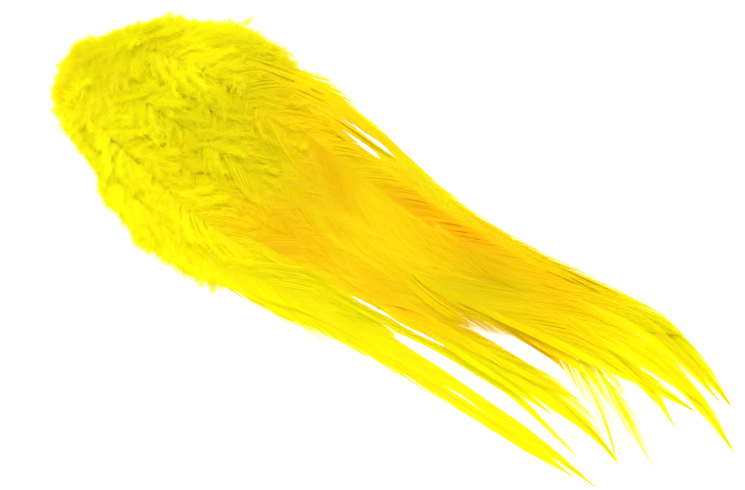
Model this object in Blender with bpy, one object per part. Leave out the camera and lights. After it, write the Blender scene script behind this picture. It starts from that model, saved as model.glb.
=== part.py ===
"""A rooster saddle hackle: a bunch of dyed feathers strung by their butts, lying flat.

Each feather is one solid: a bare quill stub, a flat pad of down with ragged locks, and a
narrow vane with a raised shaft down its middle. The feathers are laid on the table one by
one, each coming to rest on those below it. Metres, +Z up, +X from the butts to the tips.
"""

import math

import bmesh
import bpy
import numpy as np
from mathutils import Vector

MM = 0.001

# A feather's sizes in millimetres, from the butt to the tip. Its down is flat for a share of
# its width and thins towards its edges. The edges of the vane run a little ahead of the shaft.
QUILL_HALF_WIDTH = 0.6
QUILL_HEIGHT = 0.8
DOWN_LENGTH = 62.0
DOWN_THICKNESS = 0.85
DOWN_FLAT = 0.5
DOWN_EDGE = 0.4
SHAFT_HALF_WIDTH = 0.45
SHAFT_HEIGHT = 0.62
VANE_HALF_WIDTH = 2.7
VANE_EDGE = 0.08
VANE_AHEAD = 0.8
TIP_HALF_WIDTH = 0.3
TIP_HEIGHT = 0.16
SMOOTH_ANGLE = math.radians(40)

# Rings of the down pad: distance from the butt, half width, how far the edge runs ahead of
# the shaft (negative is back towards the butts) and thickness as a share of the full one.
DOWN_RINGS = [
    (3.0, 2.6, -6.0, 0.5),
    (8.0, 4.1, -7.0, 0.7),
    (14.0, 3.3, -2.0, 0.85),
    (21.0, 5.4, -3.0, 1.0),
    (30.0, 3.7, 0.0, 0.95),
    (38.0, 5.2, 2.5, 0.85),
    (49.0, 3.2, 1.0, 0.7),
]
# Rings of the vane: share of its length, half width and height as shares of the full ones.
VANE_RINGS = [
    (0.0, 1.0, 1.0),
    (0.25, 1.0, 0.9),
    (0.5, 0.92, 0.75),
    (0.75, 0.72, 0.55),
    (0.91, 0.42, 0.35),
]

# Laying: the air left between two feathers, the grid of cells that holds the height of the
# heap, the spacing of the lines and points at which a feather is felt over it, and how stiff
# a shaft is, as rounds of smoothing over a few lines.
AIR = 0.25
CELL = 0.5
FIELD_X = (-100.0, 125.0)
FIELD_Y = (-45.0, 45.0)
ROUTE_STEP = 1.0
CURVE_STEPS = 40
LINE_STEP = 0.35
LINE_POINTS = 24
STIFFNESS = 15
SMOOTHED_LINES = 9
SETTLING_ROUNDS = 40

# The butts lie side by side on a shallow bow, and the down spreads from there.
BUTT_X = -74.0
BUTT_BOW = 0.05
BUTT_MIDDLE_Y = 2.0
BUTT_Y = (-13.0, 18.0)
DOWN_X = -46.0
DOWN_Y = (-21.5, 24.5)

# The thread that holds the butts: its thickness, how far from the quills' ends it crosses
# them, and how far it stands out past the outermost quills.
THREAD_DIAMETER = 0.6
THREAD_FROM_BUTT = 1.6
THREAD_ENDS = 1.5
THREAD_POINTS = 21

LEMON = (0.95, 0.90, 0.02)
GOLD = (0.93, 0.72, 0.01)
COTTON = (0.93, 0.90, 0.80)

# Routes of the feathers that show, from the lower edge of the bunch to the upper one, in
# millimetres: the vane's width as a share of the full one, then points from where the down
# ends to the tip. The route before that runs from the feather's place among the butts.
FAN = [
    (0.7, [(-28, -24.2), (-8, -24.2), (12, -22.8), (34, -22.8), (54, -23.2), (69, -24.6)]),
    (0.9, [(-28, -22.9), (-8, -23), (12, -22), (32, -22.1), (52, -22.8), (64, -23.8), (75.5, -24.4)]),
    (0.7, [(-28, -20.9), (-8, -20.6), (14, -19.9), (34, -20), (52, -20.7), (66, -21.6), (77, -22.8)]),
    (0.6, [(-28, -18.6), (-8, -18.6), (14, -18.3), (34, -18.8), (56, -19.9), (81, -23.7)]),
    (0.45, [(-28, -16.1), (-8, -15.6), (12, -15), (30, -14.2), (46, -13.5), (58, -15.4), (74, -19.6)]),
    (0.6, [(-28, -13.6), (-8, -13), (12, -12), (28, -11.2), (42, -11.6), (54, -12.9), (64, -14)]),
    (0.9, [(-28, -11), (-8, -10.6), (16, -10), (38, -10.2), (58, -10.6), (70, -11.6), (80.5, -14.6)]),
    (1.0, [(-28, -8.3), (-6, -8.6), (14, -9), (34, -9.6), (54, -9), (70, -10.8), (83, -16)]),
    (1.0, [(-26, -5.5), (-6, -6.4), (14, -7.2), (32, -8.3), (50, -7.9), (67.5, -7.8)]),
    (1.1, [
        (-24, -2.8), (0, -4.2), (20, -4), (38, -0.9), (50, 2), (60, 0.9), (70, -4), (77, -9.2), (82, -14.6),
    ]),
    (1.1, [
        (-24, -0.5), (0, -2), (20, -2.5), (40, 0.8), (56, 3.4), (66, 2), (76, -3), (84, -8), (91.8, -13.1),
    ]),
    (1.0, [(-24, 1.7), (-2, 0.2), (14, -1), (27, -1.2), (38, 0.2), (52, 2), (68, 3.1), (83, 3)]),
    (1.0, [(-24, 3.9), (-6, 2.2), (12, 1.1), (30, 0.6), (46, 2.6), (62, 4.6), (78, 4.2), (93.5, 3.7)]),
    (1.0, [(-24, 6.2), (-6, 4.3), (12, 3.1), (30, 2.6), (48, 4.4), (64, 6.7), (78, 5), (90.3, -1.4)]),
    (1.0, [(-26, 8.6), (-8, 6.6), (10, 5.2), (30, 4.9), (48, 6.6), (64, 9), (80, 8.6), (93, 5.9)]),
    (1.2, [(-27, 10.8), (-12, 8.6), (4, 4.4), (20, 1.4), (36, 2), (50, 5), (66, 10.8), (82, 18.4)]),
    (1.0, [
        (-26, 12.8), (-8, 10.2), (8, 8), (26, 7.2), (44, 7.8), (60, 10.2), (76, 11), (92, 7.3), (106, 0.2),
    ]),
    (1.0, [
        (-26, 15.4), (-10, 13.2), (4, 11), (20, 9.9), (40, 10.9), (58, 14), (76, 15.2), (88, 12.4), (97, 8.7),
    ]),
    (0.9, [
        (-27, 18), (-12, 16.4), (0, 13.8), (14, 12.8), (32, 13.2), (52, 15.4),
        (72, 17.3), (88, 14.3), (100, 9.3),
    ]),
    (0.5, [(-28, 20.8), (-12, 21), (2, 19.2), (16, 16.9), (32, 15.6), (58, 16.7)]),
    (0.6, [(-29, 23.6), (-19, 25.2), (-8, 23.6), (6, 20.6), (20, 17.6), (42, 16.9), (63, 18.8)]),
]
# The feathers are laid in rounds, each from the lower edge to the upper one with every
# sixth place filled. The shorter feathers below have the same routes, cut off at these
# shares of their length.
EVERY = 6
STARTS = (0, 3, 1, 4, 2, 5)
BELOW = [(0.86, STARTS), (0.76, (2, 5))]
SHORTER_BY = (0.0, 0.05, -0.04, 0.09, -0.02)


def smooth_route(points, step):
    """Points every step along a smooth curve through the given ones, and their distance along it."""
    p = np.array([points[0], *points, points[-1]], float)
    p[0] = 2 * p[1] - p[2]
    p[-1] = 2 * p[-2] - p[-3]
    t = np.linspace(0, 1, CURVE_STEPS, endpoint=False)[:, None]
    curve = []
    for a, b, c, d in zip(p, p[1:], p[2:], p[3:]):
        bend = (2 * a - 5 * b + 4 * c - d) * t**2 + (3 * b - a - 3 * c + d) * t**3
        curve.append(b + 0.5 * ((c - a) * t + bend))
    curve = np.vstack([*curve, p[-2:-1]])
    run = np.concatenate([[0], np.cumsum(np.linalg.norm(np.diff(curve, axis=0), axis=1))])
    at = np.linspace(0, run[-1], max(2, round(run[-1] / step) + 1))
    return np.column_stack([np.interp(at, run, curve[:, k]) for k in range(2)]), at


def bow_x(y):
    """Where the row of quill ends lies along X, at a given Y."""
    return BUTT_X + BUTT_BOW * (y - BUTT_MIDDLE_Y) ** 2


def route_of(place, reach=1.0):
    """The route of the feather at a place in the fan, cut at reach of its length: its points, their
    distance from the butt, and the vane's width as a share of the full one."""
    width, points = FAN[place]
    across = place / (len(FAN) - 1)
    butt_y = np.interp(across, (0, 1), BUTT_Y)
    butt = (bow_x(butt_y), butt_y)
    down = (DOWN_X, np.interp(across, (0, 1), DOWN_Y))
    line, at = smooth_route([butt, down, *points], ROUTE_STEP)
    keep = at <= reach * at[-1]
    return line[keep], at[keep], width


def rings_of(line, at, width):
    """The rings of a feather that follows the line. Each has six plan points with their heights:
    the left edge, the upper left and right, the right edge, and the lower right and left."""
    length = at[-1]
    heading = np.gradient(line, axis=0)
    heading /= np.linalg.norm(heading, axis=1)[:, None]

    def beside(s, side, ahead=0.0):
        point = np.array([np.interp(s + ahead, at, line[:, k]) for k in range(2)])
        way = np.array([np.interp(s + ahead, at, heading[:, k]) for k in range(2)])
        point = point + way * min(0.0, s + ahead)
        return point + side * np.array([-way[1], way[0]])

    rows = [(0.0, QUILL_HALF_WIDTH, QUILL_HALF_WIDTH / 2, 0.0, QUILL_HEIGHT, QUILL_HEIGHT / 2)]
    for s, half, ahead, thick in DOWN_RINGS:
        high = DOWN_THICKNESS * thick
        rows.append((s, half, DOWN_FLAT * half, ahead, high, DOWN_EDGE * high))
    for share, half, high in VANE_RINGS:
        s = DOWN_LENGTH + share * (length - DOWN_LENGTH)
        edge_at = VANE_HALF_WIDTH * half * width
        rows.append((s, edge_at, SHAFT_HALF_WIDTH * high, VANE_AHEAD, SHAFT_HEIGHT * high, VANE_EDGE))
    rows.append((length, TIP_HALF_WIDTH, TIP_HALF_WIDTH / 2, 0.0, TIP_HEIGHT, TIP_HEIGHT / 2))
    rings = []
    for s, half, inner, ahead, high, edge in rows:
        left_edge = (beside(s, half, ahead), edge)
        right_edge = (beside(s, -half, ahead), edge)
        left = beside(s, inner)
        right = beside(s, -inner)
        rings.append([left_edge, (left, high), (right, high), right_edge, (right, 0.0), (left, 0.0)])
    return rings


class Heap:
    """The height of what lies on the table so far, on a grid of square cells."""

    def __init__(self):
        self.columns = int((FIELD_X[1] - FIELD_X[0]) / CELL)
        self.rows = int((FIELD_Y[1] - FIELD_Y[0]) / CELL)
        self.top = np.zeros((self.columns, self.rows))

    def cells(self, points):
        i = ((points[..., 0] - FIELD_X[0]) / CELL).astype(int)
        j = ((points[..., 1] - FIELD_Y[0]) / CELL).astype(int)
        return np.clip(i, 1, self.columns - 2), np.clip(j, 1, self.rows - 2)

    def under(self, points):
        """The highest thing under or right beside each point."""
        i, j = self.cells(points)
        around = [self.top[i + di, j + dj] for di in (-1, 0, 1) for dj in (-1, 0, 1)]
        return np.max(around, axis=0)

    def add(self, points, heights):
        np.maximum.at(self.top, self.cells(points), heights)


def strips_of(rings):
    """Fine cross lines of a feather: which rings each lies between and its share of the way from
    the first to the second, its plan points, and the heights of its upper and lower side."""
    ring, share, points, upper, lower = [], [], [], [], []
    across = np.linspace(0, 3, LINE_POINTS)
    for k, (a, b) in enumerate(zip(rings, rings[1:])):
        span = max(np.linalg.norm(p[0] - q[0]) for p, q in zip(a, b))
        for t in np.linspace(0, 1, max(2, math.ceil(span / LINE_STEP)) + 1):
            edge = np.array([(1 - t) * p[0] + t * q[0] for p, q in zip(a[:4], b[:4])])
            high = np.array([(1 - t) * p[1] + t * q[1] for p, q in zip(a[:4], b[:4])])
            points.append(np.column_stack([np.interp(across, range(4), edge[:, c]) for c in range(2)]))
            upper.append(np.interp(across, range(4), high))
            lower.append(np.interp(across, range(4), high * (1, 0, 0, 1)))
            ring.append(k)
            share.append(t)
    return np.array(ring), np.array(share), np.array(points), np.array(upper), np.array(lower)


def lay(heap, rings):
    """The height of each ring's underside once the feather has come to rest on the heap."""
    ring, share, points, upper, lower = strips_of(rings)
    below = heap.under(points)
    needed = np.where(below > 0, below + AIR - lower, 0.0).max(axis=1)
    bent = needed
    evenly = np.ones(SMOOTHED_LINES) / SMOOTHED_LINES
    for _ in range(STIFFNESS):
        spread = np.convolve(np.pad(bent, SMOOTHED_LINES // 2, mode="edge"), evenly, mode="valid")
        bent = np.maximum(needed, spread)
    z = np.append(bent[share == 0], bent[-1])
    for _ in range(SETTLING_ROUNDS):
        lack = needed - ((1 - share) * z[ring] + share * z[ring + 1])
        for k in range(len(rings) - 1):
            worst = max(0.0, lack[ring == k].max())
            z[k] += 0.5 * worst
            z[k + 1] += 0.5 * worst
    lift = ((1 - share) * z[ring] + share * z[ring + 1])[:, None]
    heap.add(points, upper + lift)
    return z


def material(name, colour, roughness):
    made = bpy.data.materials.new(name)
    made.use_nodes = True
    shader = made.node_tree.nodes["Principled BSDF"]
    shader.inputs["Base Color"].default_value = (*colour, 1.0)
    shader.inputs["Roughness"].default_value = roughness
    return made


def feather(name, rings, z, finish):
    """One feather, extruded ring by ring from the end of its quill."""
    bm = bmesh.new()
    loop = [bm.verts.new((*point, z[0] + high)) for point, high in rings[0]]
    edges = [bm.edges.new(pair) for pair in zip(loop, loop[1:] + loop[:1])]
    bm.faces.new(loop)
    for ring, lift in zip(rings[1:], z[1:]):
        made = bmesh.ops.extrude_edge_only(bm, edges=edges)["geom"]
        fresh = {v.co.to_tuple(6): v for v in made if isinstance(v, bmesh.types.BMVert)}
        loop = [fresh[v.co.to_tuple(6)] for v in loop]
        edges = [e for e in made if isinstance(e, bmesh.types.BMEdge) and set(e.verts) <= set(loop)]
        for vert, (point, high) in zip(loop, ring):
            vert.co = (*point, lift + high)
    bm.faces.new(loop)
    bmesh.ops.recalc_face_normals(bm, faces=bm.faces)
    bmesh.ops.scale(bm, vec=(MM, MM, MM), verts=bm.verts)
    mesh = bpy.data.meshes.new(name)
    bm.to_mesh(mesh)
    bm.free()
    mesh.shade_smooth()
    mesh.set_sharp_from_angle(angle=SMOOTH_ANGLE)
    mesh.materials.append(finish)
    obj = bpy.data.objects.new(name, mesh)
    bpy.context.scene.collection.objects.link(obj)
    return obj


def thread(heap, finish):
    """The cotton thread that runs across the butts, between the feathers below it and those above."""
    y = np.linspace(BUTT_Y[0] - THREAD_ENDS, BUTT_Y[1] + THREAD_ENDS, THREAD_POINTS)
    line = np.column_stack([bow_x(y) + THREAD_FROM_BUTT, y])
    fine, _ = smooth_route(line, CELL / 2)
    around = [fine + (dx, 0) for dx in (-CELL, 0, CELL)]
    z = max(heap.under(p).max() for p in around) + AIR + THREAD_DIAMETER / 2
    for p in around:
        heap.add(p, np.full(len(p), z + THREAD_DIAMETER / 2))
    curve = bpy.data.curves.new("stringing_thread", "CURVE")
    curve.dimensions = "3D"
    curve.bevel_depth = THREAD_DIAMETER / 2 * MM
    curve.bevel_resolution = 1
    curve.use_fill_caps = True
    spline = curve.splines.new("POLY")
    spline.points.add(len(line) - 1)
    for point, (px, py) in zip(spline.points, line):
        point.co = (px * MM, py * MM, z * MM, 1)
    curve.materials.append(finish)
    obj = bpy.data.objects.new("stringing_thread", curve)
    bpy.context.scene.collection.objects.link(obj)
    return obj


def centre(objects):
    """Moves everything so that the middle of the bunch's length and width is at the origin."""
    bpy.context.view_layer.update()
    corners = [o.matrix_world @ Vector(c) for o in objects for c in o.bound_box]
    low = [min(c[k] for c in corners) for k in range(2)]
    high = [max(c[k] for c in corners) for k in range(2)]
    shift = Vector((-(low[0] + high[0]) / 2, -(low[1] + high[1]) / 2, 0))
    for o in objects:
        o.location += shift


def main():
    for old in list(bpy.data.objects):
        bpy.data.objects.remove(old)
    lemon = material("lemon_feather", LEMON, 0.6)
    gold = material("gold_feather", GOLD, 0.6)
    cotton = material("cotton_thread", COTTON, 0.9)
    heap = Heap()
    made = []

    for layer, (reach, starts) in enumerate(BELOW, 1):
        for start in starts:
            for place in range(start, len(FAN), EVERY):
                share = reach - SHORTER_BY[place % len(SHORTER_BY)]
                rings = rings_of(*route_of(place, share))
                made.append(feather(f"inner_hackle_{layer}_{place + 1:02d}", rings, lay(heap, rings), gold))
        if layer == 1:
            made.append(thread(heap, cotton))
    for start in STARTS:
        for place in range(start, len(FAN), EVERY):
            rings = rings_of(*route_of(place))
            made.append(feather(f"hackle_{place + 1:02d}", rings, lay(heap, rings), lemon))
    centre(made)


main()
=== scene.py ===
"""The looks of a bunch of strung rooster saddle hackle, dyed yellow, lying on a white table.

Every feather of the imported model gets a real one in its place: a tapered quill, barbs that
sweep forward from it, and soft down with fine barbules round its butt. The barbs that show
are combed over the heap the way the long soft ones of such a bunch fall.
"""

import math

import bpy
import numpy as np
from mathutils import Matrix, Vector
from mathutils.bvhtree import BVHTree


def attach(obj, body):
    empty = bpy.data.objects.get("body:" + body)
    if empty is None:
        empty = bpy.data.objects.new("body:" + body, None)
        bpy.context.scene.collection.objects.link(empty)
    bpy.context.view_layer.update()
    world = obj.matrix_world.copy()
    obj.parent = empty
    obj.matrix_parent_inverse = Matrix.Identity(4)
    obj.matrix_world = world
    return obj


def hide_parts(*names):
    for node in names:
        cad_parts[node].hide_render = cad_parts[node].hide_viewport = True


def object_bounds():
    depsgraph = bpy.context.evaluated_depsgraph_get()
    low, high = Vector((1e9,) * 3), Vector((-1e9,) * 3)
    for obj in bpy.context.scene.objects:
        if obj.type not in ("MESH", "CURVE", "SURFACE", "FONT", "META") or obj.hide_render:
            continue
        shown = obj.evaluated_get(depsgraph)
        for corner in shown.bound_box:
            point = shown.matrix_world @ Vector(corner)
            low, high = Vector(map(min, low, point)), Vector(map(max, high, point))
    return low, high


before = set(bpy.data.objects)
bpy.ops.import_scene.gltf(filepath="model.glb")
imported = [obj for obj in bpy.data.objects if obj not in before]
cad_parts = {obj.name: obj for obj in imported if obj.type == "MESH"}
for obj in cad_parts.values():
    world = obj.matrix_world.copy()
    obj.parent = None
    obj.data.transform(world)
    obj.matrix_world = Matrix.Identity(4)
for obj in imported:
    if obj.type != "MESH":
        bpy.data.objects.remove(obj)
CAD_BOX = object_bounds()

MM = 0.001

# The view: straight down, the bunch turned in the picture, its width across the frame.
VIEW_TURN = math.radians(30)
VIEW_CENTRE = (-7.54, -0.66)
VIEW_WIDTH = 177.4
VIEW_LEVEL = 6.0
CAMERA_HEIGHT = 1000.0

# How a packed feather is read: its down locks run this far behind its butt, and its spine is
# found at cuts this far apart and smoothed over so many of them. The last barbs pass the
# quill's tip.
LOCKS_BEHIND_BUTT = 3.0
SPINE_STEP = 1.0
SIDEWAYS_EVENED = 3
HEIGHT_EVENED = 4
REST_EVENED = 2
BARBS_PASS_TIP = 2.5
TABLE_CLEARANCE = 0.12

# A feather, in millimetres along its quill from the butt. The quill lies under its barbs by an
# amount that changes along it.
DOWN_TO = 48.0
VANE_FROM = 30.0
VANE_FULL = 46.0
QUILL_RADIUS = 0.24
QUILL_TIP_RADIUS = 0.04
QUILL_SIDES = 6
QUILL_SUNK_AT = (0, 40, 60, 80)
QUILL_SUNK = (0.9, 1.3, 0.8, 0.3)
QUILL_CUTS = 44

# Barbs of the vane: the angle at which they leave the quill, in degrees, at shares of its length,
# and how unevenly, at places along it. The vane closes over the last millimetres before its tip.
# It is thin where it begins, and in two feathers from a place near the tip.
BARB_ANGLE_AT = (0, 0.2, 0.35, 0.6, 0.8, 1.0)
BARB_ANGLE = (60, 44, 30, 17, 11, 6)
BARB_UNEVEN_AT = (10, 50, 80)
BARB_UNEVEN = (0.2, 0.14, 0.08)
OUTERMOST_ANGLE = 0.5
VANE_STREAK = 1.2
VANE_CLUMP = 3.0
STREAKED_ANGLE = 0.4
VANE_TIP_AT = (-BARBS_PASS_TIP, 0, 3, 8)
VANE_TIP = (0.25, 0.6, 0.85, 1)
VANE_BEGINS_THIN = 0.3
VANE_THIN = 0.4
VANE_THINS = {10: (126, 138), 11: (132, 145)}
NEVER_THINS = (300, 301)
LAST_BARB = 0.5
BARBS_STOP_AT = 0.96
BARBS_PASS = (0.3, 1)
BARB_CURVE = 1.6
BARB_SPREAD = 0.12
BARB_PULL = 0.3
BARB_LIFT = (-0.15, 0.12)
BARB_SINK = 0.8
BARB_SINK_VARIES = 0.5
BARB_WIDTHS = (0.7, 1.2)
NARROWS_AT = (0.5, 1.0)
NARROWS = (1.0, 0.7)
BARB_ROLL = 0.18

# Barbs of the down: their angle in degrees and their length at places along the quill, how they
# vary, and how they lie. A few are bare hairs without barbules, which pass the heap's edge.
DOWN_ANGLE_AT = (0, 5, 12, 28, 56)
DOWN_ANGLE = (155, 112, 76, 52, 34)
DOWN_ANGLE_VARIES = 0.28
DOWN_LENGTH_AT = (0, 20, 56)
DOWN_LENGTH = (8.0, 9.0, 10.0)
DOWN_LENGTHS = (0.65, 1.1)
DOWN_CLUMP = 2.5
DOWN_CLUMPED = 0.08
DOWN_RISE = 0.1
DOWN_RISE_VARIES = 0.12
FIRST_BARB = 0.4
FIRST_TUFT = 0.2
DOWN_THINS_FROM = 26.0
DOWN_THIN = 0.25
DOWN_PARTS = 4
DOWN_PULL = (0.14, 0.32)
DOWN_LIFT = (-0.08, 0.06)
DOWN_SINK = (0.0, 1.6)
DOWN_ROLL = 0.25
DOWN_WIDTH = 0.12
HAIR_WIDTH = 0.1
HAIR_LONGER = 0.3
LOOSE_HAIRS = 0.1
LOOSE_HAIRS_PASS = (0.8, 3.6)

# Barbules: how far loose from their barb, their lengths, and how far they lean away from it.
BARBULES_LOOSE = (0.36, 0.36, 0.06)
BARBULE_LENGTHS = (0.7, 1.7)
BARBULE_LONGER = 0.35
BARBULE_LEANS = (0.2, 1.1)
BARBULE_RISES = 0.08
BARBULE_TURNS = 0.1

# How finely a feather that shows is made, and one that lies under the others. Then what differs
# in the feathers along the bunch's edges, which are numbered from the lower edge to the upper.
SHOWN = {
    "spacing": 0.22, "width": 0.23, "parts": 5, "long": 0.8, "down_spacing": 0.8, "barbules": 185,
    "barbule_width": 0.11,
}
UNDER = {
    "spacing": 0.7, "width": 0.34, "parts": 4, "long": 0.0, "down_spacing": 1.2, "barbules": 50,
    "barbule_width": 0.16,
}
FRAYED = 0.85
TOP_FROM = 19
TOP_LOOK = {"down_to": 36.0, "vane_from": 20.0, "vane_full": 34.0, "frayed": 0.93}
TOP_SPACING = 0.65
# Painted light: the feathers along the lower edge get a lighter shade, so that they look lit bright.
LOW_PAINTED_LIGHT_TO = 6
LOW_PAINTED_LIGHT = 0.12
TUFTS_TO = {1: 36.0, 2: 36.0, 3: 24.0, 19: 24.0, 20: 24.0, 21: 24.0}
USUAL_TUFTS_TO = 12.0
OUTERMOST = {1: -1, 2: -1, 20: 1, 21: 1}

# How far the barbs reach beside the quill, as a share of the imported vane's half width, at
# places along the quill. Some vanes are held narrow or hang wide on one side.
BULGE_AT = (40, 50, 62, 70, 80, 100, 115, 125, 140)
BULGE = (1.9, 1.8, 1.7, 1.5, 1.3, 1.2, 1.15, 1.2, 1.35)
BULGES = {
    (1, -1): (1.3, 1.3, 1.3, 1.2, 1.0, 1.0, 1.0, 1.1, 1.2),
    (2, -1): (1.2, 1.1, 1.0, 1.0, 1.0, 1.0, 1.0, 1.0, 1.0),
    (2, 1): (1.9, 1.8, 1.7, 1.5, 1.3, 1.0, 0.4, 0.9, 1.5),
    (3, -1): (1.9, 1.8, 1.7, 1.5, 1.3, 1.0, 0.3, 0.9, 1.5),
    (4, 1): (1.9, 1.8, 1.7, 1.5, 1.2, 0.95, 0.8, 0.7, 0.9),
    (5, -1): (1.9, 1.8, 1.7, 1.5, 1.0, 0.7, 0.7, 0.8, 1.0),
    (5, 1): (1.9, 1.8, 1.7, 1.5, 0.8, 0.8, 1.6, 1.6, 1.0),
    (6, -1): (1.9, 1.8, 1.7, 1.5, 0.8, 0.7, 1.3, 1.4, 1.0),
    (8, 1): (1.9, 1.8, 1.7, 1.5, 1.3, 1.2, 1.15, 1.2, 2.2),
    (9, 1): (1.9, 1.8, 1.7, 1.5, 1.2, 0.95, 1.0, 1.05, 1.3),
    (10, -1): (1.9, 1.8, 1.7, 1.5, 1.3, 1.8, 1.8, 0.8, 1.5),
    (15, -1): (1.9, 1.8, 1.7, 1.5, 1.3, 1.2, 1.15, 1.3, 1.7),
    (18, 1): (1.9, 1.8, 2.0, 1.9, 1.9, 1.8, 1.4, 1.2, 1.35),
    (19, 1): (1.6, 1.15, 1.35, 1.9, 1.8, 1.5, 1.3, 1.9, 1.9),
    (20, -1): (1.6, 0.22, 0.45, 2.6, 2.6, 1.8, 1.2, 1.0, 1.0),
    (20, 1): (1.8, 0.45, 0.25, 1.1, 1.4, 1.1, 1.1, 1.8, 1.1),
    (21, -1): (1.8, 0.85, 0.45, 1.2, 1.8, 1.5, 1.3, 1.2, 1.2),
    (21, 1): (1.0, 0.8, 0.7, 0.7, 0.8, 0.9, 1.5, 2.5, 1.6),
}

# The heap's upper surface, felt on a grid of cells. Hollows narrower than twice BRIDGED are
# filled, and strands hang from it no more steeply than STEEPEST. Between the two SOFT places
# back from the origin it turns into down, which is more even and rounds off at the edge.
CELL = 1.0
HEAP_MARGIN = 12
ABOVE_ALL = 99.0
EXPOSED_WITHIN = 2.2
EXPOSED_OVER = 1.0
DOWN_RISES_WITHIN = 5.0
BRIDGED = 3
DRAPED = 4
STEEPEST = 0.9
SMOOTHED = 2
EVENED_IN_DOWN = 3
SOFT = (22, 38)
SOFT_QUILLS = (22, 40)
EDGE_ROUND = 7.0
EDGE_LOW = 0.8
EDGE_RISE = 9.0
ROOTS_BELOW = 0.1

# Strands settle on the heap over the first part of their length and sag by this slope.
SETTLES = 3
LIFTS = 4
VANE_SAG = 0.25
DOWN_SAG = 1.6

# How the barbs fall: places on the heap in millimetres, and the way they run there, in
# degrees from the bunch's length. Each vane is combed up to a place along its quill, which
# goes by the feather's number, and for some by the side as well.
COMB_REACH = 5.0
COMB_GRIPS = 1.5
USUALLY_COMBED_TO = {9: (90, 104), 18: (105, 125), 21: (28, 38)}
COMBED_TO = {(18, 1): (46, 58), (10, -1): (92, 104), (11, -1): (92, 104)}
COMB = [
    (-40, 22, -12), (-33, 18.5, -38), (-26, 12, -44), (-20, 8, -38), (-12, 5.5, -22), (-10, 13, -16),
    (3, 10.5, -6), (12, 6, 0), (-2, 3.5, 0), (22, 8, 5), (-32, 5, 15), (-28, 3, -30), (-22, 1.5, -12),
    (-45, 10, 0), (-45, 0, 12), (-46, -7, 32), (-38, -10, 36), (-28, -7, 22), (-16, -4.5, 17),
    (-42, -16, 26), (-32, -13, 20), (-22, -11.5, 14), (-38, -19.5, 14), (-28, -19, 10),
    (-26, -25, -6), (-8, -18.5, 4), (-6, -12.5, 4), (4, -8, 2), (-6, -1, 0), (12, 2.5, 20),
    (20, 4, 38), (26, 0, 36), (32, 0, 26), (44, 5, 24), (42, 11, 36), (46, 15, 28),
    (16, 11, -3), (25, 11, -2), (33, 13, 5), (14, -5.5, 2), (22, -5, 9), (29, -3.5, 13), (36, -2, 15),
    (-35, -2.5, 3), (-25, -2.5, 3),
]

# The edges of the heap of down and of the vanes beside it: places along the bunch, and how far
# the fibres reach to its lower and upper side there. They stand out past it by a fine fringe.
EDGE = [
    (-93.2, -3, 0), (-92, -4.5, 5), (-91, -8, 7.3), (-89, -11, 7.9), (-87.5, -12.3, 8.4), (-86, -12, 11.3),
    (-84, -12.5, 12.3), (-82, -15, 14), (-80.3, -14.6, 16.7), (-78.5, -12, 19.3), (-76, -12.9, 21.5),
    (-73, -14, 23.5), (-71.2, -18.6, 24), (-69.8, -21.6, 24.4), (-67.5, -24.6, 25.6), (-64.3, -24.3, 26.8),
    (-61, -25.4, 28.6), (-58.5, -27.4, 29.6), (-56.3, -30.3, 29.1), (-53.5, -28.9, 29.1), (-50, -29.5, 29.7),
    (-46.7, -28.8, 29.7), (-43.5, -29.6, 27.1), (-41, -29.2, 26.8), (-35.5, -28.3, 28.7),
    (-32.3, -27.1, 28.4), (-29, -27.1, 27.6), (-22, -27.1, 23.8), (-14.5, -26.3, 22.7),
    (-6.5, -24.6, 21.5), (5, -23.9, 18.5), (13.5, -23.7, 17.7), (29.5, -23.8, 18),
    (45.5, -24.7, 19.4), (53.5, -30, 20.6), (61.5, -40, 30),
]
EDGE_TUFTS = 0.4
TUFT_WAVES = ((1.7, 0.8), (-1.9, 1.5))
EDGE_HAIRS = 0.75
VANE_INSIDE = 1.2
DOWN_INSIDE = 1.75
DRAWN_BACK = 0.88
DRAWN_BACK_TIMES = 10

# The tone of the yellow dye, with painted shade and painted light: gold in the thick of the bunch
# is painted shade of many layers, and lemon in the down, along the lower edge and at the tips is
# painted light, where light comes through. Each is given by where it begins and where it is full.
# Then places where the tone is set deeper or paler than that, and the line of an orange streak,
# which is painted shade.
GOLD_TONE = 0.38
LEMON_TONE = 0.93
DOWN_LEMON = (18, 52)
LOW_EDGE_LEMON = (10, 16)
TIPS_LEMON = (30, 62)
TIPS_SLANT = 3
TIPS_SLANT_FROM = -3
TOP_EDGE_LEMON = (14, 18)
TOP_EDGE_SHARE = 0.4
TONE_PATCHES = [
    (-22, 2, -0.08), (-14, 4, 0.02), (-12, -4, 0.08), (-26, -14, -0.1), (-15, -11, -0.08),
    (-58, 12, 0.1), (-36, 20, -0.12), (-58, -11, -0.14), (-38, -13, -0.15), (33, -10, 0.2),
    (14, -5, 0.15), (-12, -10, 0.08), (-57, 24, -0.06), (-46, 10, -0.1), (-46, 24, -0.05),
    (-66, -19, 0.12), (-8, 11, 0.15), (-45, 21, -0.1), (-54, 7, -0.08), (28, 4, 0.15),
    (2, 18, 0.25), (-6, -4, 0.1),
]
# Painted shade: an orange streak along this line, for a deeper layer seen in shade between feathers.
PAINTED_SHADE_STREAK = [(-14, 15), (-3, 13.8), (6, 12.7), (16, 11.8), (29, 10.9)]
PAINTED_SHADE_STREAK_REACH = 1.7
PAINTED_SHADE_STREAK_TONE = -0.42
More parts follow.
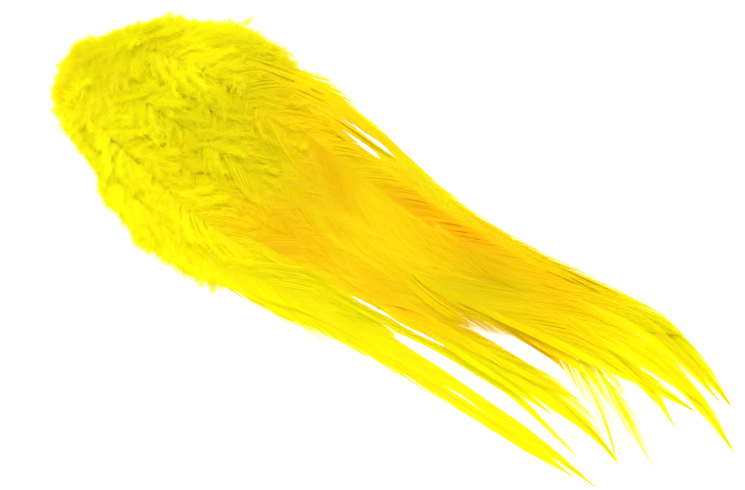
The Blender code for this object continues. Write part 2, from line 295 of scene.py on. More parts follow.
# Painted shade and painted light: places made darker, for the shade where fibres lie deep, and
# paler, for the light where they stand loose.
PAINTED_SHADE_AND_LIGHT_PATCHES = [
    (-86, 7, -0.15), (-77, 15, -0.2), (-68, 24, -0.1), (-57, 26, -0.2), (-46, 22, -0.1),
    (-30, 20, 0.1), (-62, 5, -0.15), (-52, 9, -0.2), (-43, 12, -0.05), (-36, 3, -0.1),
    (-26, 4, -0.2), (-20, 11, -0.15), (-8, 16, -0.2), (25, 4, -0.45), (-69, 9, 0.15),
    (-65, 17, 0.3), (-56, -20, 0.3), (-40, -25, 0.3), (55, -20, 0.2), (30, -2, 0.2),
    (-10, 16, 0.1), (46, 6, 0.15), (58, 6, 0.25), (70, 3, 0.25), (82, 0, 0.2), (46, -14, 0.2),
    (60, -10, 0.2), (10, -22, 0.15), (28, -22, 0.15), (-90, -4, 0.1), (-80, -8, 0.05),
]
PATCH_REACH = 6.0

# The strands' own map: tones run along it, barbs to the left and quills to the right, and shades
# run up it. How much tone and shade vary from feather to feather, from streak to streak and from
# strand to strand, and along each strand.
UV_NAME = "OFBake"
BARB_TONES = (0.02, 0.88)
BARB_TONE_SHARE = 0.86
QUILL_TONES = (0.93, 0.99)
QUILL_SHADES = (0.6, 0.3)
TONE_WIDTH = 0.005
SHADES = (0.1, 0.9)
USUAL_SHADE = 0.6
FEATHER_TONE = 0.05
FEATHER_SHADE = 0.045
STREAKED_TONE = 0.03
STREAKED_SHADE = 0.07
DOWN_STREAKED = 0.4
STRAND_TONE = 0.025
STRAND_SHADE = 0.06
BARBULE_TONE = 0.02
BARBULE_SHADE = 0.04
ROOT_DARKER = 0.09
BARBULE_ROOT_DARKER = 0.05
TAPER_AT = (0, 0.5, 1)
TAPER = (1.0, 0.85, 0.25)

# Colours at places on the map, and the thread's over its stains.
DYE_COLOURS = [
    (0.0, (1.0, 0.64, 0.0)), (0.45, (0.99, 0.86, 0.0)), (0.88, (0.97, 0.965, 0.0)),
    (0.92, (0.85, 0.70, 0.01)), (0.99, (0.96, 0.93, 0.01)),
]
SHADE_COLOURS = [(0.1, (0.86, 0.84, 0.8)), (0.9, (1.0, 1.0, 1.0))]
LIGHT_THROUGH = 0.5
COTTON_COLOURS = [(0.35, (0.86, 0.82, 0.62)), (0.65, (0.93, 0.91, 0.83))]
STAIN_SCALE = 300

# The table, the white surround and the lamp.
TABLE_SIZE = 4
TABLE_TOP = -0.0003
TABLE_GREY = 0.3
TABLE_GLOW = 0.95
SURROUND = 0.92
LAMP_AT = (-0.35, 0.45, 1.1)
LAMP_TURN = (-22, -18, 0)
LAMP_SIZE = 0.5
LAMP_POWER = 9
BOUNCES = 24
SOFT_BOUNCES = 20

# The stringing thread: two plies wound round each other.
THREAD_PLY_RADIUS = 0.2
THREAD_PLY_OFFSET = 0.85
THREAD_SIDES = 6
THREAD_END = 0.3
THREAD_TURNS = 16
THREAD_CUTS = 220

rng = np.random.default_rng(23)


class Heap:
    """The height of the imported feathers' upper surface over the table."""

    def __init__(self):
        corners, faces = [], []
        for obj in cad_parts.values():
            start = len(corners)
            corners += [v.co / MM for v in obj.data.vertices]
            obj.data.calc_loop_triangles()
            faces += [[start + i for i in t.vertices] for t in obj.data.loop_triangles]
        tree = BVHTree.FromPolygons(corners, faces)
        low, high = (np.array(c) / MM for c in CAD_BOX)
        self.start = low[:2] - HEAP_MARGIN
        self.count = ((high[:2] + HEAP_MARGIN - self.start) / CELL).astype(int) + 1
        self.top = np.zeros(self.count)
        for i in range(self.count[0]):
            for j in range(self.count[1]):
                place = (self.start[0] + i * CELL, self.start[1] + j * CELL, ABOVE_ALL)
                hit = tree.ray_cast(Vector(place), Vector((0, 0, -1)))[0]
                if hit:
                    self.top[i, j] = hit.z
        self.top = smoothed(self.top, 1)
        self.rest = draped(bridged(self.top, BRIDGED), DRAPED)
        self.soften()

    def soften(self):
        """Evens out the surface on which strands rest, most of all in the down."""
        soft = self.rest
        for _ in range(SMOOTHED):
            self.rest = smoothed(self.rest, 1)
            soft = smoothed(soft, EVENED_IN_DOWN)
        x, y = (self.start[k] + CELL * np.arange(self.count[k]) for k in (0, 1))
        x, y = np.meshgrid(x, y, indexing="ij")
        within = np.clip(1 + beyond_edge(x, y) / EDGE_ROUND, 0, 1)
        soft = np.minimum(soft, EDGE_LOW + EDGE_RISE * np.sqrt(1 - within**2))
        self.rest = self.rest + (soft - self.rest) * rising(-x, *SOFT)

    def height(self, x, y, surface):
        i = np.clip((x - self.start[0]) / CELL, 0, self.count[0] - 1.001)
        j = np.clip((y - self.start[1]) / CELL, 0, self.count[1] - 1.001)
        a, b = i.astype(int), j.astype(int)
        i, j = i - a, j - b
        near = surface[a, b] * (1 - j) + surface[a, b + 1] * j
        far = surface[a + 1, b] * (1 - j) + surface[a + 1, b + 1] * j
        return near * (1 - i) + far * i


class Spine:
    """The line of a feather's quill, from its butt to its tip, with the frame barbs grow from."""

    def __init__(self, line, half):
        step = np.linalg.norm(np.diff(line, axis=0), axis=1)
        self.length = step.sum()
        self.quill = line
        past = line[-1] + unit(line[-1] - line[-4]) * BARBS_PASS_TIP
        self.line = np.vstack([line, past])
        self.at = np.concatenate([[0.0], np.cumsum(step), [self.length + BARBS_PASS_TIP]])
        self.half = np.append(half, half[-1])
        self.way = unit(np.gradient(self.line, self.at, axis=0))

    def here(self, s):
        """Place, heading and the level direction to the left of it, at distances from the butt."""
        place = np.column_stack([np.interp(s, self.at, self.line[:, k]) for k in range(3)])
        way = unit(np.column_stack([np.interp(s, self.at, self.way[:, k]) for k in range(3)]))
        left = unit(np.column_stack([-way[:, 1], way[:, 0], np.zeros(len(s))]))
        return place, way, left

    def half_width(self, s):
        return np.interp(s, self.at, self.half)


def unit(vectors):
    return vectors / np.linalg.norm(vectors, axis=-1)[..., None]


def evened(values, reach):
    """A list or the rows of a grid, smoothed over reach neighbours with the ends kept in line."""
    pads = [(reach, reach)] + [(0, 0)] * (values.ndim - 1)
    padded = np.pad(values, pads, mode="reflect", reflect_type="odd")
    return sum(padded[k:k + len(values)] for k in range(2 * reach + 1)) / (2 * reach + 1)


def smoothed(grid, reach):
    """A grid smoothed over reach cells both ways."""
    return evened(evened(grid, reach).T, reach).T


def around(grid, reach):
    """Copies of a grid moved by every whole step within a reach, each with how far it was moved."""
    padded = np.pad(grid, reach, mode="edge")
    steps = range(2 * reach + 1)
    rows, columns = grid.shape
    moved = [
        (padded[i:i + rows, j:j + columns], math.hypot(i - reach, j - reach)) for i in steps for j in steps
    ]
    return [(copy, distance) for copy, distance in moved if distance <= reach]


def bridged(grid, reach):
    """A grid of heights with the hollows filled that are narrower than twice the reach."""
    grid = np.max([copy for copy, _ in around(grid, reach)], axis=0)
    return np.min([copy for copy, _ in around(grid, reach)], axis=0)


def draped(grid, reach):
    """A grid of heights that fall off no more steeply than a loose cover would."""
    return np.max([copy - STEEPEST * CELL * distance for copy, distance in around(grid, reach)], axis=0)


def slices(node, axis, start, step):
    """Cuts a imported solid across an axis: the cut places, and the low and high corner of each cut."""
    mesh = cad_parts[node].data
    places = np.empty(len(mesh.vertices) * 3)
    mesh.vertices.foreach_get("co", places)
    places = places.reshape(-1, 3) / MM
    pairs = np.empty(len(mesh.edges) * 2, int)
    mesh.edges.foreach_get("vertices", pairs)
    a, b = places[pairs.reshape(-1, 2).T]
    at, low, high = [], [], []
    for cut_at in np.arange(places[:, axis].min() + start, places[:, axis].max(), step):
        cut = (a[:, axis] - cut_at) * (b[:, axis] - cut_at) < 0
        share = (cut_at - a[cut, axis]) / (b[cut, axis] - a[cut, axis])
        edge = a[cut] + share[:, None] * (b[cut] - a[cut])
        at.append(cut_at)
        low.append(edge.min(axis=0))
        high.append(edge.max(axis=0))
    return np.array(at), np.array(low), np.array(high)


def spine_of(node, heap):
    """The spine of a packed feather, raised to the heap's surface where the feather lies open."""
    x, low, high = slices(node, 0, LOCKS_BEHIND_BUTT, SPINE_STEP)
    middle, half = (low[:, 1] + high[:, 1]) / 2, (high[:, 1] - low[:, 1]) / 2
    y = evened(evened(middle, SIDEWAYS_EVENED), SIDEWAYS_EVENED)
    z = evened(evened(high[:, 2] - QUILL_RADIUS, HEIGHT_EVENED), HEIGHT_EVENED)
    open_air = lying_open(np.column_stack([x, y, z]), heap)
    surface = heap.height(x, y, heap.rest) - ROOTS_BELOW
    raised = np.maximum(surface - z, (surface - z) * rising(-x, *SOFT_QUILLS))
    z = evened(evened(z + raised * open_air, REST_EVENED), REST_EVENED)
    return Spine(np.column_stack([x, y, z]), evened(half, REST_EVENED))


def waver(s, scale):
    """A slow random swing along s, between about -1 and 1, that turns every scale millimetres."""
    knots = np.arange(0, s.max() + 3 * scale, scale)
    return np.interp(s, knots, rng.uniform(-1, 1, len(knots)))


def comb(x, y):
    """The way the barbs fall at places on the heap, and how strongly."""
    at = np.array(COMB, float)
    near = np.exp(-((x[:, None] - at[:, 0]) ** 2 + (y[:, None] - at[:, 1]) ** 2) / (2 * COMB_REACH**2))
    angle = np.radians(at[:, 2])
    flow = np.column_stack([near @ np.cos(angle), near @ np.sin(angle), np.zeros(len(x))])
    strength = np.minimum(1, near.sum(axis=1))
    return flow / (np.linalg.norm(flow, axis=1)[:, None] + 1e-9), strength


def rising(value, start, end):
    """0 before start, 1 past end, and a smooth step between them."""
    share = np.clip((value - start) / (end - start), 0, 1)
    return share * share * (3 - 2 * share)


def patched(x, y, patches):
    at = np.array(patches, float)
    near = np.exp(-((x[:, None] - at[:, 0]) ** 2 + (y[:, None] - at[:, 1]) ** 2) / (2 * PATCH_REACH**2))
    return near @ at[:, 2]


def dye(x, y):
    """How lemon the tone is at places on the heap, from 0, orange gold, to 1: painted shade in the thick and
    along the orange streak, painted light where light comes through.
    """
    # Painted light: lemon where light comes through the down, the lower edge, the tips and the upper edge;
    # painted shade: gold elsewhere.
    down_end = rising(-x, *DOWN_LEMON)
    low_edge = rising(-y, *LOW_EDGE_LEMON)
    tips = rising(x - TIPS_SLANT * np.minimum(0, y - TIPS_SLANT_FROM), *TIPS_LEMON)
    top_edge = TOP_EDGE_SHARE * rising(y, *TOP_EDGE_LEMON)
    lemon = np.max([down_end, low_edge, tips, top_edge], axis=0)
    # Painted shade: the tone is pulled towards orange along the streak's line.
    line = np.array(PAINTED_SHADE_STREAK, float)
    off = y - np.interp(x, line[:, 0], line[:, 1])
    on_painted_shade_streak = np.exp(-((off / PAINTED_SHADE_STREAK_REACH) ** 2)) * rising(x, *line[:2, 0]) * rising(-x, *-line[:-3:-1, 0])
    tone = GOLD_TONE + (LEMON_TONE - GOLD_TONE) * lemon
    return tone + patched(x, y, TONE_PATCHES) + PAINTED_SHADE_STREAK_TONE * on_painted_shade_streak


def spaced(start, end, step):
    """Places between two ends a step apart, each a little off its own."""
    s = np.arange(start, end, step)
    return s + rng.uniform(-0.4, 0.4, len(s)) * step


def beyond_edge(x, y):
    """How far places lie outside the edge of the heap."""
    at, low, high = np.array(EDGE).T
    over = np.maximum(y - np.interp(x, at, high), np.interp(x, at, low) - y)
    return np.maximum(over, at[0] - x)


def kept_in(points, inside):
    """Strands drawn back towards their roots until they end at the edge of the heap or inside it."""
    root, tip = points[:, :1], points[:, -1]
    tufts = sum(np.sin(a * tip[:, 0] + b * tip[:, 1]) for a, b in TUFT_WAVES)
    allowed = EDGE_TUFTS * tufts + rng.exponential(EDGE_HAIRS, len(points)) - inside
    share = np.ones(len(points))
    for _ in range(DRAWN_BACK_TIMES):
        tip = root[:, 0] + (points[:, -1] - root[:, 0]) * share[:, None]
        share *= np.where(beyond_edge(tip[:, 0], tip[:, 1]) > allowed, DRAWN_BACK, 1.0)
    return root + (points - root) * share[:, None, None]


def combed(root, way, first, length, parts, pull):
    """Points of strands that turn towards their quill's way, or the comb's where it reaches."""
    points = [root]
    heading = first
    for _ in range(parts):
        here = points[-1] + heading * (length / parts)[:, None]
        flow, strength = comb(here[:, 0], here[:, 1])
        target = way * (1 - strength[:, None]) + flow * strength[:, None]
        heading = unit(heading * (1 - pull) + unit(target) * pull)
        points.append(here)
    return np.stack(points, axis=1)


def headings(points):
    return unit(np.gradient(points, axis=1))


def ribbons(points, width, roll, tone, shade):
    """Flat strips along strands, each narrowing to a point: corners, triangles and map places."""
    count, rings = points.shape[:2]
    heading = headings(points)
    flat = unit(np.cross(heading, (0.0, 0.0, 1.0)))
    edge_on = np.cross(flat, heading)
    across = flat * np.cos(roll)[:, None, None] + edge_on * np.sin(roll)[:, None, None]
    along = np.linspace(0, 1, rings)
    taper = np.interp(along, TAPER_AT, TAPER)
    shift = across * (width[:, None] * taper)[..., None] / 2
    corners = np.stack([points - shift, points + shift], axis=2)
    places = np.empty((count, rings, 2, 2))
    places[..., 0] = np.stack([tone - TONE_WIDTH, tone + TONE_WIDTH], axis=1)[:, None]
    places[..., 1] = (shade[:, None] + ROOT_DARKER * (2 * along - 1))[..., None]
    corners = np.concatenate([corners[:, :-1].reshape(count, -1, 3), points[:, -1:]], axis=1)
    tip_place = np.stack([tone, shade + ROOT_DARKER], axis=1)[:, None]
    places = np.concatenate([places[:, :-1].reshape(count, -1, 2), tip_place], axis=1)
    each = corners.shape[1]
    faces = []
    for a in range(0, 2 * (rings - 2), 2):
        faces += [(a, a + 1, a + 3), (a, a + 3, a + 2)]
    faces.append((each - 3, each - 2, each - 1))
    faces = (np.arange(count)[:, None, None] * each + np.array(faces)).reshape(-1, 3)
    return corners.reshape(-1, 3), faces, places.reshape(-1, 2)


def turned(way, left, angle, rise):
    """The heading turned to the left by an angle, and then raised by another."""
    level = way * np.cos(angle)[:, None] + left * np.sin(angle)[:, None]
    return unit(level * np.cos(rise)[:, None] + np.array((0.0, 0.0, 1.0)) * np.sin(rise)[:, None])


def lying_open(places, heap, within=EXPOSED_WITHIN):
    """1 where nothing of the heap lies over a place, 0 where it is covered, and between near that."""
    cover = heap.height(places[..., 0], places[..., 1], heap.top) - places[..., 2]
    return np.clip(0.5 + (within - cover) / EXPOSED_OVER, 0, 1)


def coloured(points, look, streaks):
    """The tone and the shade of strands, from where their middles lie on the heap."""
    middle = points[:, points.shape[1] // 2]
    n = len(points)
    tone = BARB_TONE_SHARE * dye(middle[:, 0], middle[:, 1]) + look["tone"] + STREAKED_TONE * streaks
    tone = tone + rng.normal(0, STRAND_TONE, n)
    # Painted shade and painted light: the patches darken and lighten the strands' colour by place.
    shade = USUAL_SHADE + patched(middle[:, 0], middle[:, 1], PAINTED_SHADE_AND_LIGHT_PATCHES)
    shade = shade + look["shade"] + STREAKED_SHADE * streaks + rng.normal(0, STRAND_SHADE, n)
    return tone.clip(*BARB_TONES), shade.clip(*SHADES)


def laid(points, heap, open_air, lift, sink, sag):
    """Strands at rest on the heap where their quill lies open, and sunk in it elsewhere."""
    along = np.linspace(0, 1, points.shape[1])
    over = heap.height(points[..., 0], points[..., 1], heap.rest)
    away = np.linalg.norm(points[..., :2] - points[:, :1, :2], axis=2)
    over = np.maximum(over, points[..., 2] - sag * away)
    root = points[:, :1, 2]
    sunk = points[..., 2] - sink[:, None] * along
    settled = np.minimum(1, SETTLES * along)
    lifted = over + lift[:, None] * np.minimum(1, LIFTS * along)
    top = root * (1 - settled) + np.maximum(lifted, sunk) * settled
    points[..., 2] = sunk + (top - sunk) * open_air
    points[..., 2] = np.maximum(points[..., 2], TABLE_CLEARANCE)
    return points


def vane_roots(spine, look):
    """Places along the quill where barbs of the vane grow, fewer where it begins or is thin."""
    s = spaced(look["vane_from"], spine.length - LAST_BARB, look["spacing"])
    at = (look["vane_from"], look["vane_full"], *look["thins"])
    return s[rng.uniform(0, 1, len(s)) < np.interp(s, at, (VANE_BEGINS_THIN, 1, 1, VANE_THIN))]


def neat_barbs(spine, look, side, s, angle):
    """Barbs as they lie in a tidy vane, seen from above, and how long they are."""
    bulge = look["bulges"][side]
    half = spine.half_width(s) * np.interp(s, BULGE_AT, bulge)
    to_tip = BARBS_STOP_AT * (spine.length - s) + BARBS_PASS_TIP * rng.uniform(*BARBS_PASS, len(s))
    run = np.minimum(half / np.tan(angle), to_tip)
    along = np.linspace(0, 1, look["parts"] + 1)
    passed = s[:, None] + run[:, None] * along
    edge = spine.half_width(passed) * np.interp(passed, BULGE_AT, bulge)
    edge = edge * np.interp(spine.length - passed, VANE_TIP_AT, VANE_TIP)
    edge = edge * rng.uniform(look["frayed"], 1.0, (len(s), 1))
    reach = edge[:, -1]
    at, _, beside = spine.here(passed.ravel())
    out = side * np.minimum(reach[:, None] * (1 - (1 - along) ** BARB_CURVE), edge)
    return (at + beside * out.reshape(-1, 1)).reshape(len(s), -1, 3), np.hypot(run, reach)


def vane(spine, heap, look, side):
    """The barbs on one side of the quill, combed and laid over the heap where the quill lies open."""
    s = vane_roots(spine, look)
    n = len(s)
    place, way, left = spine.here(s)
    share = s / spine.length
    streaks = waver(s, VANE_STREAK)
    angle = np.radians(np.interp(share, BARB_ANGLE_AT, BARB_ANGLE))
    uneven = np.interp(s, BARB_UNEVEN_AT, BARB_UNEVEN)
    angle = angle * (1 + uneven * waver(s, VANE_CLUMP) + STREAKED_ANGLE * uneven * streaks)
    angle = angle * (OUTERMOST_ANGLE if side == look["outermost"] else 1)
    neat, length = neat_barbs(spine, look, side, s, angle)
    flow, strength = comb(place[:, 0], place[:, 1])
    with_flow = ((flow * left).sum(axis=1) * side > 0) * strength
    open_air = lying_open(place, heap)
    length = length * (1 + look["long"] * with_flow * open_air)
    first = turned(way, left * side, angle + BARB_SPREAD, np.zeros(n))
    swept = combed(place, way, first, length, look["parts"], BARB_PULL)
    combed_here = np.interp(s, look["combed_to"][side], (1, 0))
    loosened = (open_air * np.minimum(1, COMB_GRIPS * strength) * combed_here)[:, None, None]
    points = kept_in(neat * (1 - loosened) + swept * loosened, VANE_INSIDE)
    points[..., 2] = place[:, 2:]
    open_air = np.maximum(open_air[:, None], lying_open(points, heap))
    sink = BARB_SINK + np.abs(rng.normal(0, BARB_SINK_VARIES, n))
    points = laid(points, heap, open_air, rng.uniform(*BARB_LIFT, n), sink, VANE_SAG)
    width = look["width"] * rng.uniform(*BARB_WIDTHS, n) * np.interp(share, NARROWS_AT, NARROWS)
    return [ribbons(points, width, rng.normal(0, BARB_ROLL, n), *coloured(points, look, streaks))]


def down_roots(look):
    """Places along the quill where down grows, twice as thick in the tufts round the butt."""
    s = spaced(FIRST_BARB, look["down_to"], look["down_spacing"])
    s = s[rng.uniform(0, 1, len(s)) < np.interp(s, (DOWN_THINS_FROM, look["down_to"]), (1, DOWN_THIN))]
    return np.concatenate([s, spaced(FIRST_TUFT, look["tufts_to"], look["down_spacing"])])


def down(spine, heap, look, side):
    """Long loose barbs on one side of the butt, each with fine barbules on all sides."""
    s = down_roots(look)
    n = len(s)
    place, way, left = spine.here(s)
    streaks = waver(s, DOWN_CLUMP)
    angle = np.radians(np.interp(s, DOWN_ANGLE_AT, DOWN_ANGLE))
    angle = angle + DOWN_CLUMPED * streaks + rng.normal(0, DOWN_ANGLE_VARIES, n)
    rise = DOWN_RISE + DOWN_CLUMPED * waver(s, DOWN_CLUMP) + rng.normal(0, DOWN_RISE_VARIES, n)
    length = np.interp(s, DOWN_LENGTH_AT, DOWN_LENGTH) * rng.uniform(*DOWN_LENGTHS, n)
    bare = rng.uniform(0, 1, n) < LOOSE_HAIRS
    length = length * (1 + HAIR_LONGER * bare)
    first = turned(way, left * side, angle, rise)
    points = combed(place, way, first, length, DOWN_PARTS, rng.uniform(*DOWN_PULL, (n, 1)))
    points = kept_in(points, np.where(bare, -rng.uniform(*LOOSE_HAIRS_PASS, n), DOWN_INSIDE))
    open_air = lying_open(place, heap, DOWN_RISES_WITHIN)[:, None]
    open_air = np.maximum(open_air, lying_open(points, heap, DOWN_RISES_WITHIN))
    sink = rng.uniform(*DOWN_SINK, n)
    points = laid(points, heap, open_air, rng.uniform(*DOWN_LIFT, n), sink, DOWN_SAG)
    tone, shade = coloured(points, look, DOWN_STREAKED * streaks)
    barbs = ribbons(points, np.where(bare, HAIR_WIDTH, DOWN_WIDTH), rng.normal(0, DOWN_ROLL, n), tone, shade)
    return [barbs, barbules(points[~bare], tone[~bare], shade[~bare], look)]


def barbules(points, tone, shade, look):
    """Fine hairs that stand out all round each barb."""
    count = look["barbules"]
    n = len(points)
    heading = headings(points)
    along = np.sort(rng.uniform(0.03, 1.0, (n, count)), axis=1)
    ring = along * (points.shape[1] - 1)
    low = np.minimum(ring.astype(int), points.shape[1] - 2)
    rows = np.arange(n)[:, None]
    share = (ring - low)[..., None]
    root = (points[rows, low] * (1 - share) + points[rows, low + 1] * share).reshape(-1, 3)
    root = root + rng.normal(0, 1, root.shape) * BARBULES_LOOSE
    way = heading[rows, low].reshape(-1, 3)
    out = unit(np.cross(way, (0.0, 0.0, 1.0))) * rng.choice((-1.0, 1.0), (n * count, 1))
    out[:, 2] = rng.normal(0, BARBULE_RISES, n * count)
    lean = rng.uniform(*BARBULE_LEANS, (n * count, 1))
    length = rng.uniform(*BARBULE_LENGTHS, (n * count, 1)) + rng.exponential(BARBULE_LONGER, (n * count, 1))
    hair = unit(way + out * lean) * length
    tip = root + hair
    tip[:, 2] = np.maximum(tip[:, 2], TABLE_CLEARANCE)
    facing = (0.0, 0.0, 1.0) + rng.normal(0, BARBULE_TURNS, out.shape)
    aside = unit(np.cross(hair, facing)) * look["barbule_width"] / 2
    corners = np.stack([root - aside, root + aside, tip], axis=1)
    tone = (np.repeat(tone, count) + rng.normal(0, BARBULE_TONE, n * count)).clip(*BARB_TONES)
    shade = (np.repeat(shade, count) + rng.normal(0, BARBULE_SHADE, n * count)).clip(*SHADES)
    places = np.empty((n * count, 3, 2))
    places[..., 0] = tone[:, None] + np.array((-TONE_WIDTH, TONE_WIDTH, 0))
    places[..., 1] = shade[:, None] + np.array((-1, -1, 1)) * BARBULE_ROOT_DARKER
    faces = np.arange(3 * n * count).reshape(-1, 3)
    return corners.reshape(-1, 3), faces, places.reshape(-1, 2)


def fibre_mesh(name, parts, finish):
    """One mesh object from many strips."""
    corners, faces, places, start = [], [], [], 0
    for one_corners, one_faces, one_places in parts:
        corners.append(one_corners)
        faces.append(one_faces + start)
        places.append(one_places)
        start += len(one_corners)
    corners, faces, places = np.vstack(corners), np.vstack(faces), np.vstack(places)
    mesh = bpy.data.meshes.new(name)
    mesh.from_pydata(corners * MM, [], faces)
    layer = mesh.uv_layers.new(name=UV_NAME)
    layer.uv.foreach_set("vector", places[faces.ravel()].astype(np.float32).ravel())
    mesh.materials.append(finish)
    mesh.shade_smooth()
    obj = bpy.data.objects.new(name, mesh)
    bpy.context.collection.objects.link(obj)
    return obj


def guide(points):
    """A curve through points, for a piece to be bent along."""
    curve = bpy.data.curves.new("guide", "CURVE")
    curve.dimensions = "3D"
    line = curve.splines.new("POLY")
    line.points.add(len(points) - 1)
    line.points.foreach_set("co", np.column_stack([points * MM, np.ones(len(points))]).ravel())
    obj = bpy.data.objects.new("guide", curve)
    bpy.context.collection.objects.link(obj)
    return obj


def bent_along(piece, points):
    """Bends a piece that lies along X from the origin so that it follows the points."""
    line = guide(points)
    bend = piece.modifiers.new("bend", "CURVE")
    bend.object = line
    bend.deform_axis = "POS_X"
    bpy.context.view_layer.objects.active = piece
    bpy.ops.object.modifier_apply(modifier=bend.name)
    bpy.data.objects.remove(line)


def rod(length, radius, end_radius, sides, cuts):
    """A round rod along X from the origin, cut across into short lengths so that it can bend."""
    bpy.ops.object.select_all(action="DESELECT")
    bpy.ops.mesh.primitive_cone_add(
        vertices=sides, radius1=radius * MM, radius2=end_radius * MM, depth=length * MM,
        location=(length * MM / 2, 0, 0), rotation=(0, math.pi / 2, 0),
    )
    piece = bpy.context.object
    bpy.ops.object.transform_apply(location=True, rotation=True, scale=True)
    bpy.ops.object.mode_set(mode="EDIT")
    bpy.ops.mesh.select_mode(type="EDGE")
    bpy.ops.mesh.select_all(action="DESELECT")
    bpy.ops.object.mode_set(mode="OBJECT")
    for edge in piece.data.edges:
        a, b = (piece.data.vertices[i].co for i in edge.vertices)
        edge.select = bool(abs(a.x - b.x) > length * MM / 2)
    bpy.ops.object.mode_set(mode="EDIT")
    bpy.ops.mesh.subdivide(number_cuts=cuts)
    bpy.ops.object.mode_set(mode="OBJECT")
    bpy.ops.object.shade_smooth()
    return piece


def quill(spine, finish):
    """A round shaft that tapers from the butt to the tip, bent along the spine."""
    piece = rod(spine.length, QUILL_RADIUS, QUILL_TIP_RADIUS, QUILL_SIDES, QUILL_CUTS)
    layer = piece.data.uv_layers[0]
    layer.name = UV_NAME
    for spot, corner in zip(layer.uv, piece.data.loops):
        along = piece.data.vertices[corner.vertex_index].co.x / (spine.length * MM)
        tone = QUILL_TONES[0] + (QUILL_TONES[1] - QUILL_TONES[0]) * along**2
        spot.vector = (tone + TONE_WIDTH * spot.vector.y, QUILL_SHADES[0] + QUILL_SHADES[1] * spot.vector.x)
    line = spine.quill.copy()
    line[:, 2] -= np.interp(spine.at[:-1], QUILL_SUNK_AT, QUILL_SUNK)
    line[:, 2] = np.maximum(line[:, 2], QUILL_RADIUS + TABLE_CLEARANCE)
    bent_along(piece, line)
    piece.data.materials.append(finish)
    return piece


def joined(name, pieces):
    bpy.ops.object.select_all(action="DESELECT")
    for piece in pieces:
        piece.select_set(True)
    bpy.context.view_layer.objects.active = pieces[0]
    bpy.ops.object.join()
    pieces[0].name = name
    return pieces[0]


def thread(finish):
    """Two plies wound round each other, laid across the butts."""
    y, low, high = slices("stringing_thread", 1, THREAD_END, SPINE_STEP)
    route = np.column_stack([(low[:, 0] + high[:, 0]) / 2, y, (low[:, 2] + high[:, 2]) / 2])
    length = np.linalg.norm(np.diff(route, axis=0), axis=1).sum()
    plies = []
    for side in (1, -1):
        ply = rod(length, THREAD_PLY_RADIUS, THREAD_PLY_RADIUS, THREAD_SIDES, THREAD_CUTS)
        for vertex in ply.data.vertices:
            vertex.co.y += side * THREAD_PLY_RADIUS * THREAD_PLY_OFFSET * MM
        plies.append(ply)
    piece = joined("cotton_thread", plies)
    twist = piece.modifiers.new("twist", "SIMPLE_DEFORM")
    twist.deform_method = "TWIST"
    twist.deform_axis = "X"
    twist.angle = 2 * math.pi * THREAD_TURNS
    bpy.ops.object.modifier_apply(modifier=twist.name)
    bent_along(piece, route)
    piece.data.materials.append(finish)
    return piece


def shaded(name):
    """A new material, its nodes, its links and its main shader."""
    made = bpy.data.materials.new(name)
    made.use_nodes = True
    nodes, links = made.node_tree.nodes, made.node_tree.links
    return made, nodes, links, nodes["Principled BSDF"]


def ramped(nodes, links, source, colours):
    """The colour that a ramp of places and colours gives for a value."""
    node = nodes.new("ShaderNodeValToRGB")
    elements = node.color_ramp.elements
    elements[0].position, elements[-1].position = colours[0][0], colours[-1][0]
    for place, _ in colours[1:-1]:
        elements.new(place)
    for element, (_, colour) in zip(elements, colours):
        element.color = (*colour, 1)
    links.new(source, node.inputs["Fac"])
    return node.outputs["Color"]


def dyed():
    """Dyed barbs and quills: the tone runs from deep gold to lemon along the map and the shade
    from olive to clear up it. Quills are olive gold. Light comes through."""
    made, nodes, links, shader = shaded("yellow_dye")
    shader.inputs["Roughness"].default_value = 0.5
    shader.inputs["Specular IOR Level"].default_value = 0.08
    uv = nodes.new("ShaderNodeUVMap")
    uv.uv_map = UV_NAME
    split = nodes.new("ShaderNodeSeparateXYZ")
    links.new(uv.outputs["UV"], split.inputs["Vector"])
    mixed = nodes.new("ShaderNodeMix")
    mixed.data_type = "RGBA"
    mixed.blend_type = "MULTIPLY"
    mixed.inputs["Factor"].default_value = 1.0
    links.new(ramped(nodes, links, split.outputs["X"], DYE_COLOURS), mixed.inputs[6])
    links.new(ramped(nodes, links, split.outputs["Y"], SHADE_COLOURS), mixed.inputs[7])
    through = nodes.new("ShaderNodeBsdfTranslucent")
    both = nodes.new("ShaderNodeMixShader")
    both.inputs["Fac"].default_value = LIGHT_THROUGH
    links.new(mixed.outputs[2], shader.inputs["Base Color"])
    links.new(mixed.outputs[2], through.inputs["Color"])
    links.new(shader.outputs["BSDF"], both.inputs[1])
    links.new(through.outputs["BSDF"], both.inputs[2])
    links.new(both.outputs["Shader"], nodes["Material Output"].inputs["Surface"])
    return made


def cotton():
    """Undyed cotton thread, a little stained by the dye."""
    made, nodes, links, shader = shaded("cotton_thread")
    shader.inputs["Roughness"].default_value = 0.9
    shader.inputs["Sheen Weight"].default_value = 0.2
    place = nodes.new("ShaderNodeTexCoord")
    stain = nodes.new("ShaderNodeTexNoise")
    stain.inputs["Scale"].default_value = STAIN_SCALE
    links.new(place.outputs["Object"], stain.inputs["Vector"])
    links.new(ramped(nodes, links, stain.outputs["Fac"], COTTON_COLOURS), shader.inputs["Base Color"])
    return made


def camera():
    bpy.ops.object.camera_add(
        location=(VIEW_CENTRE[0] * MM, VIEW_CENTRE[1] * MM, CAMERA_HEIGHT * MM),
        rotation=(0, 0, VIEW_TURN),
    )
    eye = bpy.context.object
    eye.data.lens = eye.data.sensor_width * (CAMERA_HEIGHT - VIEW_LEVEL) / VIEW_WIDTH
    eye.data.clip_start = 0.05
    bpy.context.scene.camera = eye


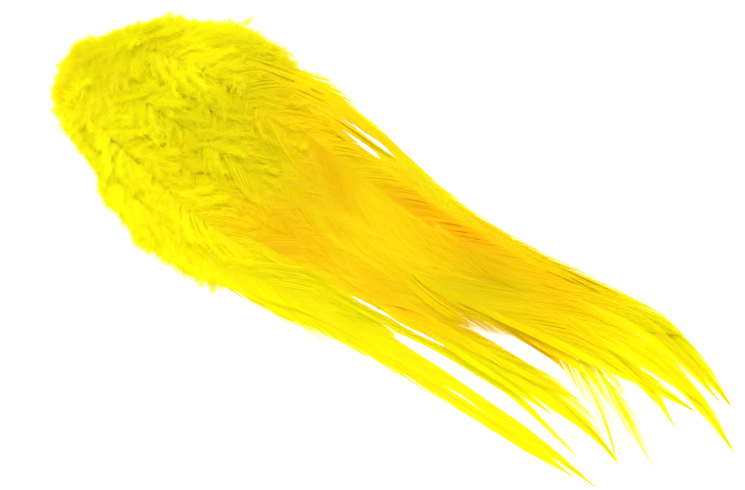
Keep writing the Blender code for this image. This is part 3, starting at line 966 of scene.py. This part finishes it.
def studio():
    """A white lit table, a white surround and one large soft lamp above."""
    bpy.ops.object.select_all(action="DESELECT")
    bpy.ops.mesh.primitive_plane_add(size=TABLE_SIZE, location=(0, 0, TABLE_TOP))
    table = bpy.context.object
    table.name = "table"
    finish, _, _, shader = shaded("white_table")
    shader.inputs["Base Color"].default_value = (TABLE_GREY, TABLE_GREY, TABLE_GREY, 1)
    shader.inputs["Roughness"].default_value = 0.8
    shader.inputs["Emission Color"].default_value = (1, 1, 1, 1)
    shader.inputs["Emission Strength"].default_value = TABLE_GLOW
    table.data.materials.append(finish)
    world = bpy.context.scene.world or bpy.data.worlds.new("surround")
    bpy.context.scene.world = world
    world.use_nodes = True
    background = world.node_tree.nodes["Background"]
    background.inputs["Color"].default_value = (1, 1, 1, 1)
    background.inputs["Strength"].default_value = SURROUND
    bpy.ops.object.light_add(type="AREA", location=LAMP_AT)
    lamp = bpy.context.object
    lamp.data.shape = "DISK"
    lamp.data.size = LAMP_SIZE
    lamp.data.energy = LAMP_POWER
    lamp.rotation_euler = [math.radians(a) for a in LAMP_TURN]
    bpy.context.scene.view_settings.view_transform = "Standard"
    cycles = bpy.context.scene.cycles
    cycles.max_bounces = BOUNCES
    cycles.diffuse_bounces = SOFT_BOUNCES
    cycles.transmission_bounces = SOFT_BOUNCES


def look_of(number, inner):
    """How one feather is made, from its number along the bunch and whether others cover it."""
    look = {
        **(UNDER if inner else SHOWN),
        "tone": rng.normal(0, FEATHER_TONE),
        "shade": rng.normal(0, FEATHER_SHADE),
        "frayed": FRAYED,
        "down_to": DOWN_TO,
        "vane_from": VANE_FROM,
        "vane_full": VANE_FULL,
        "tufts_to": TUFTS_TO.get(number, USUAL_TUFTS_TO),
        "outermost": OUTERMOST.get(number, 0),
        "thins": VANE_THINS.get(number, NEVER_THINS),
        "bulges": {side: BULGES.get((number, side), BULGE) for side in (1, -1)},
    }
    usual = next(to for last, to in USUALLY_COMBED_TO.items() if number <= last)
    look["combed_to"] = {side: COMBED_TO.get((number, side), usual) for side in (1, -1)}
    if number >= TOP_FROM:
        look.update(TOP_LOOK)
        look["spacing"] *= TOP_SPACING
    # Painted light: the lowest feathers' colour is lightened.
    if number <= LOW_PAINTED_LIGHT_TO:
        look["shade"] += LOW_PAINTED_LIGHT
    return look


def feather(node, heap, finish):
    """Dresses one packed feather."""
    spine = spine_of(node, heap)
    inner = node.startswith("inner")
    look = look_of(int(node[-2:]), inner)
    parts = [part for side in (1, -1) for part in vane(spine, heap, look, side)]
    parts += [part for side in (1, -1) for part in down(spine, heap, look, side)]
    piece = joined(node + "_dressed", [fibre_mesh("strands", parts, finish), quill(spine, finish)])
    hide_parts(node)
    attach(piece, "root")


camera()
studio()
heap = Heap()
dye_finish = dyed()
for node in sorted(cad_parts):
    if "hackle" in node:
        feather(node, heap, dye_finish)
string = thread(cotton())
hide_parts("stringing_thread")
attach(string, "root")
